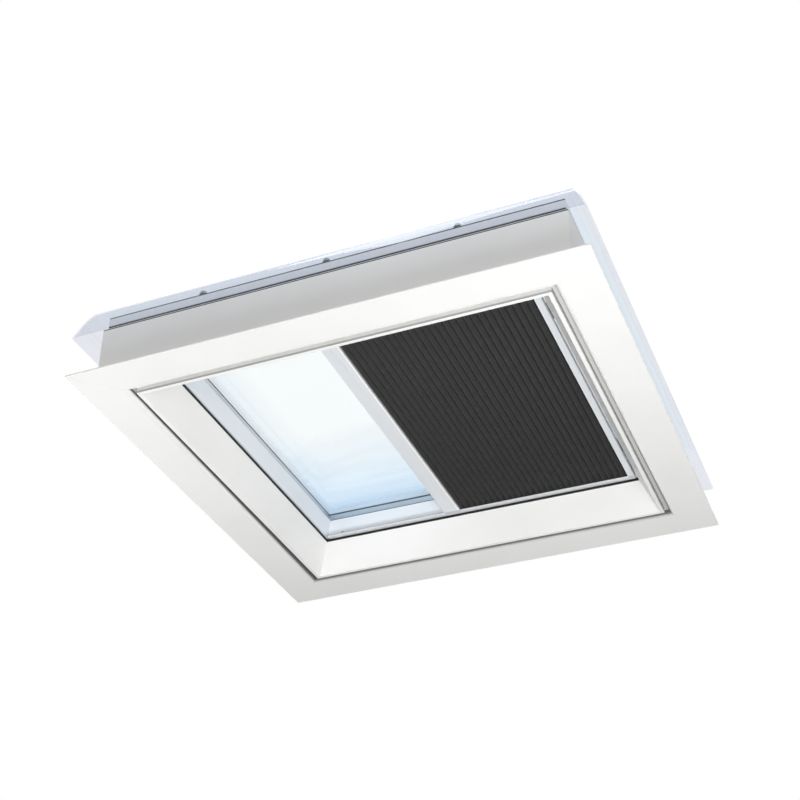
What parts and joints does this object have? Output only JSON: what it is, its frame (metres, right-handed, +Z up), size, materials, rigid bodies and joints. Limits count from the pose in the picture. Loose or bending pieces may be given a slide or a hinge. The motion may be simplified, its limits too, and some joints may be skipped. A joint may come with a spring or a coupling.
{
  "type": "skylight with honeycomb blind",
  "caption": "Square flat-roof skylight: white frame with a lining groove, double glass, clear domed cover, and a dark honeycomb blind on a motor-driven front bar that slides on racks.",
  "frame": {"origin": "middle of the flange's underside, where the skylight rests on the roof", "axes": "+Z up through the glass to the dome, +X towards the blind's fixed head rail, +Y across the cloth towards the far side of the picture"},
  "size_m": [1.22, 1.22, 0.325],
  "materials": {
    "white_plastic": "satin white plastic profile",
    "sash_white": "satin white plastic profile",
    "insulation": "pale grey foam",
    "black_rubber": "matt black rubber",
    "glass": "clear float glass",
    "spacer": "grey spacer bar",
    "clear_cover": "clear acrylic",
    "silver": "satin anodised",
    "steel": "zinc plated",
    "dark_cloth": "pleated blackout cloth",
    "grey_plastic": "moulded grey plastic",
    "brass": "plain brass",
    "motor_can": "satin grey",
    "cell_wrap": "shrink sleeve",
    "board": "green solder mask"
  },
  "bodies": {
    "root": {"base_frame": "white_plastic", "cover_gasket": "black_rubber", "cover_screw_far_1": "steel", "cover_screw_far_2": "steel", "cover_screw_far_3": "steel", "cover_screw_left_1": "steel", "cover_screw_left_2": "steel", "cover_screw_left_3": "steel", "cover_screw_near_1": "steel", "cover_screw_near_2": "steel", "cover_screw_near_3": "steel", "cover_screw_right_1": "steel", "cover_screw_right_2": "steel", "cover_screw_right_3": "steel", "dome_cover": "clear_cover", "glass_gasket_lower": "black_rubber", "glass_gasket_upper": "black_rubber", "glass_spacer": "spacer", "glazing_trim": "silver", "head_bracket_far": "steel", "head_bracket_near": "steel", "head_cloth_strip": "grey_plastic", "head_end_cap_far": "grey_plastic", "head_end_cap_near": "grey_plastic", "head_rail": "silver", "honeycomb_cloth": "dark_cloth", "insulation_core": "insulation", "lower_pane": "glass", "rack_far": "grey_plastic", "rack_near": "grey_plastic", "rail_screw_far_left": "steel", "rail_screw_far_right": "steel", "rail_screw_near_left": "steel", "rail_screw_near_right": "steel", "reveal_seal": "black_rubber", "sash_frame": "sash_white", "side_rail_far": "silver", "side_rail_near": "silver", "trim_gasket": "black_rubber", "upper_pane": "glass", "upstand_seal": "black_rubber"},
    "front_bar": {"bar_bumper": "grey_plastic", "bar_cloth_strip": "grey_plastic", "bar_end_cap_far": "grey_plastic", "bar_end_cap_near": "grey_plastic", "bar_profile": "silver", "battery_pack": "cell_wrap", "battery_tray": "grey_plastic", "motor_body": "motor_can", "motor_cradle": "grey_plastic", "receiver_board": "board", "shaft_bush_far": "brass", "shaft_bush_near": "brass"},
    "drive_shaft": {"drive_pinion_far": "grey_plastic", "drive_pinion_near": "grey_plastic", "drive_shaft": "steel", "shaft_gear": "grey_plastic"},
    "motor_spindle": {"motor_spindle": "steel", "motor_pinion": "brass"}
  },
  "joints": [
    {"name": "bar_slide", "type": "slide", "parent": "root", "child": "front_bar", "axis": [1, 0, 0], "range_m": [-0.343, 0.395], "deforming": ["honeycomb_cloth"]},
    {"name": "shaft_spin", "type": "hinge", "parent": "front_bar", "child": "drive_shaft", "pos_m": [-0.0726, 0, 0.1014], "axis": [0, 1, 0], "continuous": true},
    {"name": "spindle_spin", "type": "hinge", "parent": "front_bar", "child": "motor_spindle", "pos_m": [-0.0556, 0.063, 0.1014], "axis": [0, 1, 0], "continuous": true}
  ],
  "couplings": [
    {"joint": "shaft_spin", "follows": "bar_slide", "rad_per_m": 133.33},
    {"joint": "spindle_spin", "follows": "bar_slide", "rad_per_m": -190.48}
  ]
}
